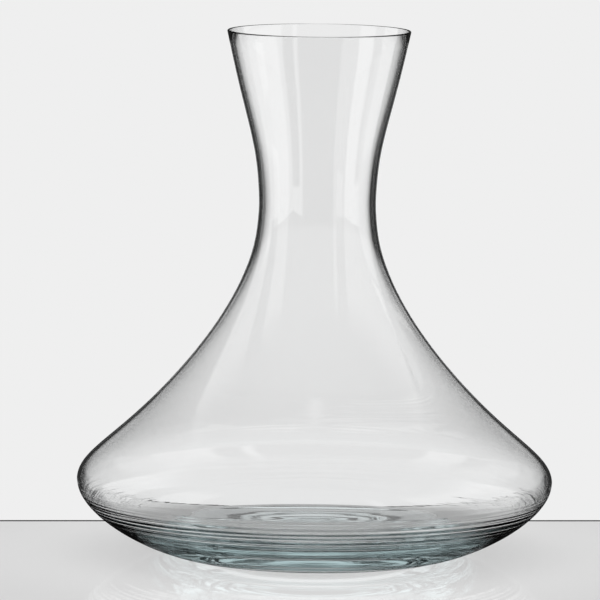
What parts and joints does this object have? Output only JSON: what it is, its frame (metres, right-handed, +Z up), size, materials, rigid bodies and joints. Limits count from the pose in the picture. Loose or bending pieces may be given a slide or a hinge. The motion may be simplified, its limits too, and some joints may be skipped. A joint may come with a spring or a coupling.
{
  "type": "wine decanter",
  "caption": "Clear glass wine decanter with a wide flat belly, sloping shoulders, a narrow throat, a flared mouth and a thick bottom.",
  "frame": {"origin": "on the axis of revolution, in the plane that the foot ring stands on", "axes": "+Z up along the axis of revolution, from the foot to the mouth"},
  "size_m": [0.206, 0.206, 0.227],
  "materials": {
    "clear_glass": "polished clear glass, faintly blue-green where it is thick"
  },
  "bodies": {
    "root": {"glass_vessel": "clear_glass"}
  },
  "joints": []
}
